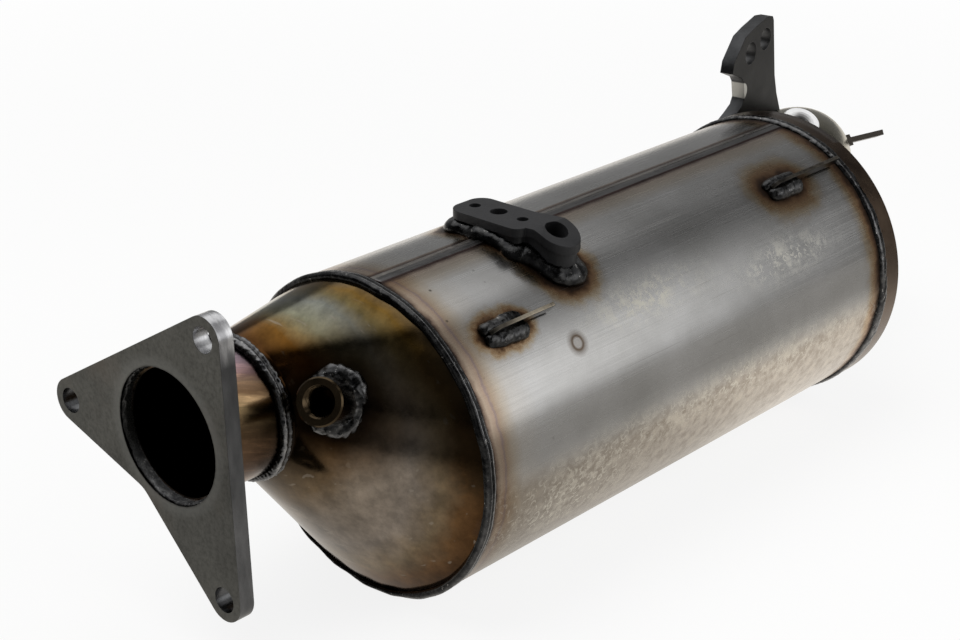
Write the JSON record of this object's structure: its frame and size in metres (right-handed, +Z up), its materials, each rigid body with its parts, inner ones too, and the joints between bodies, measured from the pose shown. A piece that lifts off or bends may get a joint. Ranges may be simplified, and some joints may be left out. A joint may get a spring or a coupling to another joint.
{
  "type": "exhaust particulate filter",
  "caption": "Welded stainless exhaust filter canister with offset inlet cone, lobed flange, sensor bosses, mounting brackets and elbow outlet, holding catalyst and wall-flow filter bricks.",
  "frame": {"origin": "centre of the inlet bore on the flange's gasket face", "axes": "+X along the canister axis from inlet to outlet, +Z up as the picture shows it, -Y towards the side with the sensor boss"},
  "size_m": [0.5406, 0.1898, 0.1959],
  "materials": {
    "flange_steel": "dark mill scale with polished edges",
    "tinted_pipe": "heat tinted gold to purple",
    "tinted_cone": "heat tinted brown and straw",
    "shell_stainless": "rolled stainless sheet with brown weld halos",
    "seam_bead": "rolled seam weld",
    "weld_bead": "dark rippled weld",
    "boss_steel": "turned, heat tinted bronze",
    "bright_steel": "turned bright face",
    "black_bracket": "matt black",
    "tab_steel": "heat tinted sheet",
    "hanger_steel": "dark oxide plate",
    "rear_cone_steel": "dark brown heat tint",
    "outlet_steel": "olive bronze heat tint",
    "ring_steel": "plain stainless",
    "catalyst_ceramic": "washcoated ceramic",
    "filter_ceramic": "bare ceramic",
    "mat_fibre": "ceramic fibre felt"
  },
  "bodies": {
    "root": {"inlet_flange": "flange_steel", "inlet_pipe": "tinted_pipe", "inlet_flange_weld": "weld_bead", "inlet_pipe_weld": "weld_bead", "inlet_cone": "tinted_cone", "front_boss": "boss_steel", "front_boss_weld": "weld_bead", "canister_shell": "shell_stainless", "seam_weld": "seam_bead", "front_ring_weld": "weld_bead", "catalyst_brick": "catalyst_ceramic", "catalyst_mat": "mat_fibre", "spacer_ring": "ring_steel", "filter_brick": "filter_ceramic", "filter_mat": "mat_fibre", "retaining_ring": "ring_steel", "outlet_cone": "rear_cone_steel", "rear_ring_weld": "weld_bead", "outlet_pipe": "outlet_steel", "outlet_pipe_weld": "weld_bead", "rear_boss": "bright_steel", "rear_boss_weld": "weld_bead", "eye_bracket": "black_bracket", "eye_bracket_weld": "weld_bead", "front_tab": "tab_steel", "front_tab_weld": "weld_bead", "rear_tab": "tab_steel", "rear_tab_weld": "weld_bead", "hanger_plate": "hanger_steel", "hanger_weld": "weld_bead", "outlet_tab": "tab_steel", "outlet_tab_weld": "weld_bead"}
  },
  "joints": []
}
